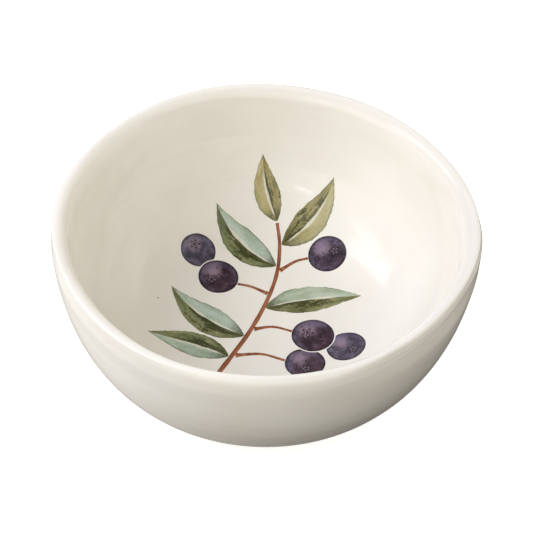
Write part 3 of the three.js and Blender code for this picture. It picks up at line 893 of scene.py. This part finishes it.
def softbox(name, direction, distance, width, height, power, colour=(1, 1, 1), turn=0.0, fade=None, mirrored=True):
    """A rectangular light that faces the bowl. fade is where, from its lower edge to its upper one, the cloth is dark and
    lit. A light that isn't mirrored lies behind so much cloth that the gloss doesn't pick it out."""
    data = bpy.data.lights.new(name, "AREA")
    data.shape = "RECTANGLE"
    data.size, data.size_y = width, height
    data.energy = power
    data.color = colour
    ob = bpy.data.objects.new(name, data)
    d = Vector(direction).normalized()
    ob.location = AIM + d * distance
    ob.rotation_mode = "QUATERNION"
    ob.rotation_quaternion = d.to_track_quat("Z", "Y") @ Matrix.Rotation(turn, 3, "Z").to_quaternion()
    ob.visible_glossy = mirrored
    scene.collection.objects.link(ob)
    if fade:
        data.use_nodes = True
        t = data.node_tree
        across = t.nodes.new("ShaderNodeNewGeometry").outputs["Parametric"]
        part = t.nodes.new("ShaderNodeSeparateXYZ")
        t.links.new(across, part.inputs[0])
        ramp = t.nodes.new("ShaderNodeMapRange")
        ramp.interpolation_type = "SMOOTHSTEP"
        ramp.inputs[1].default_value, ramp.inputs[2].default_value = fade
        t.links.new(part.outputs[1], ramp.inputs[0])
        t.links.new(ramp.outputs[0], t.nodes["Emission"].inputs["Strength"])
    return ob


softbox("key", (-0.716, 0.185, 0.675), 0.70, 0.50, 0.40, 2.20, (0.985, 1.01, 1.18), mirrored=False)
softbox("window", (-0.716, 0.185, 0.675), 0.70, 0.37, 0.23, 1.2, turn=math.radians(45), fade=(-0.2, 0.8))
softbox("side", (-0.775, -0.07, 0.63), 0.80, 0.32, 0.13, 0.23)
softbox("card", (0.945, 0.20, 0.26), 0.80, 1.0, 0.61, 1.1)
softbox("strip", (-0.34, -0.745, 0.575), 0.90, 0.17, 0.04, 0.13, turn=math.radians(-8))

# A pale studio all round, as soft lobes of light. Each has an azimuth counted from the back towards the right and
# a height over the floor, both in degrees, and a colour. The camera itself sees plain white behind the floor.
LOBES = [
    (0, 8, (0.33, 0.32, 0.24)), (30, 8, (0.41, 0.37, 0.24)), (60, 8, (1.08, 1.08, 1.05)), (180, 10, (0.48, 0.46, 0.41)),
    (210, 8, (1.00, 0.97, 0.93)), (240, 8, (0.42, 0.43, 0.43)), (90, 45, (0.25, 0.21, 0.15)), (135, 45, (0.66, 0.64, 0.60)),
    (180, 45, (0.30, 0.29, 0.27)), (225, 45, (0.58, 0.59, 0.59)), (315, 45, (0.19, 0.20, 0.24)),
    (256, -30, (0.50, 0.48, 0.45)), (300, -45, (0.40, 0.38, 0.34)), (315, -45, (0.50, 0.49, 0.46)),
]  # fmt: skip


def studio(lobes):
    world = bpy.data.worlds.new("studio")
    scene.world = world
    world.use_nodes = True
    t = world.node_tree

    def node(kind, op, out, *values):
        n = t.nodes.new(kind)
        n.operation = op
        for socket, v in zip(n.inputs, values):
            if isinstance(v, bpy.types.NodeSocket):
                t.links.new(v, socket)
            else:
                socket.default_value = v
        return n.outputs[out]

    way = t.nodes.new("ShaderNodeTexCoord").outputs["Generated"]
    seen = t.nodes.new("ShaderNodeLightPath").outputs["Is Camera Ray"]
    total = (0.0, 0.0, 0.0)
    for az, el, colour in lobes:
        a, e = math.radians(az), math.radians(el)
        to = (math.sin(a) * math.cos(e), math.cos(a) * math.cos(e), math.sin(e))
        dot = node("ShaderNodeVectorMath", "DOT_PRODUCT", "Value", way, to)
        soft = node("ShaderNodeMath", "POWER", 0, node("ShaderNodeMath", "MAXIMUM", 0, dot, 0.0), 6.0)
        total = node("ShaderNodeVectorMath", "MULTIPLY_ADD", 0, soft, colour, total)
    total = node("ShaderNodeVectorMath", "MAXIMUM", 0, seen, total)
    t.links.new(total, t.nodes["Background"].inputs[0])
    t.nodes["Background"].inputs[1].default_value = 1.0


studio(LOBES)

ELEV, DIST, AIM_Z, FOCAL_PX, ROLL, SHIFT_PX = math.radians(45.88), 0.560, 0.03169, 1958.8, math.radians(2.156), 2.638
cam_data = bpy.data.cameras.new("camera")
cam = bpy.data.objects.new("camera", cam_data)
scene.collection.objects.link(cam)
fwd = Vector((0, math.cos(ELEV), -math.sin(ELEV)))
right, up = Vector((1, 0, 0)), Vector((0, math.sin(ELEV), math.cos(ELEV)))
r2 = right * math.cos(ROLL) + up * math.sin(ROLL)
u2 = -right * math.sin(ROLL) + up * math.cos(ROLL)
m = Matrix((r2, u2, -fwd)).transposed().to_4x4()
m.translation = Vector((0, 0, AIM_Z)) - fwd * DIST
cam.matrix_world = m
cam_data.sensor_fit = "HORIZONTAL"
cam_data.sensor_width = 36.0
cam_data.lens = FOCAL_PX / 533 * 36.0
cam_data.shift_x = SHIFT_PX / 533
cam_data.clip_start, cam_data.clip_end = 0.01, 20
scene.camera = cam

scene.view_settings.view_transform = "Standard"
scene.view_settings.look = "None"
scene.view_settings.exposure = 0.0
scene.view_settings.gamma = 1.0
